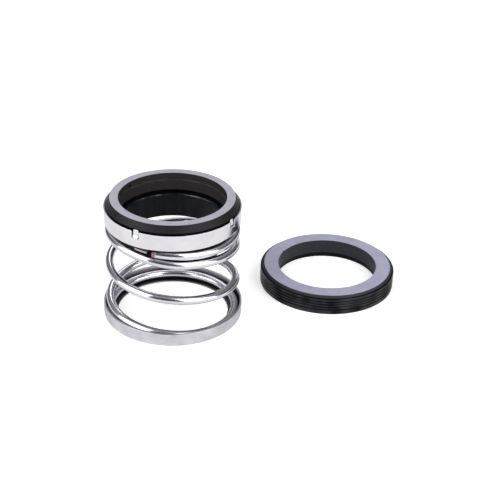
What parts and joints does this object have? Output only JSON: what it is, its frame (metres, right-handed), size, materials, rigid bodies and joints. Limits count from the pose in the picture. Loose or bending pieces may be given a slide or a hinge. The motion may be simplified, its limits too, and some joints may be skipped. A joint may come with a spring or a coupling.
{
  "type": "mechanical seal",
  "caption": "Mechanical seal for a 50 mm shaft: a single-spring head with a rubber bellows and crimped drive band, and a silicon carbide seat in a ribbed rubber cup.",
  "frame": {"origin": "centre of the spring holder's bore, on the plane that both parts stand on", "axes": "+Z along the seal's axis from the spring holder to the sealing face, +X toward the seat lying beside it, -Y the pictured front"},
  "size_m": [0.1503, 0.1043, 0.0648],
  "materials": {
    "pressed_steel": "satin pressed stainless steel",
    "spring_wire": "bright drawn stainless wire",
    "washer_steel": "bright stainless steel with a heat-tinted tongue",
    "polished_steel": "polished stainless steel",
    "bellows_rubber": "moulded glossy rubber",
    "silicon_carbide": "ground, with a lapped face",
    "cup_rubber": "moulded satin rubber"
  },
  "bodies": {
    "base": {"spring_holder": "pressed_steel", "spring": "spring_wire", "seat_ring": "silicon_carbide", "seat_cup": "cup_rubber"},
    "head": {"face_ring": "silicon_carbide", "bellows": "bellows_rubber", "drive_band": "polished_steel", "thrust_ring": "washer_steel"}
  },
  "joints": [
    {"name": "spring_travel", "type": "slide", "parent": "base", "child": "head", "axis": [0, 0, -1], "range_m": [0, 0.0169], "stiffness_N_per_m": 5200, "deforming": ["spring"]}
  ]
}
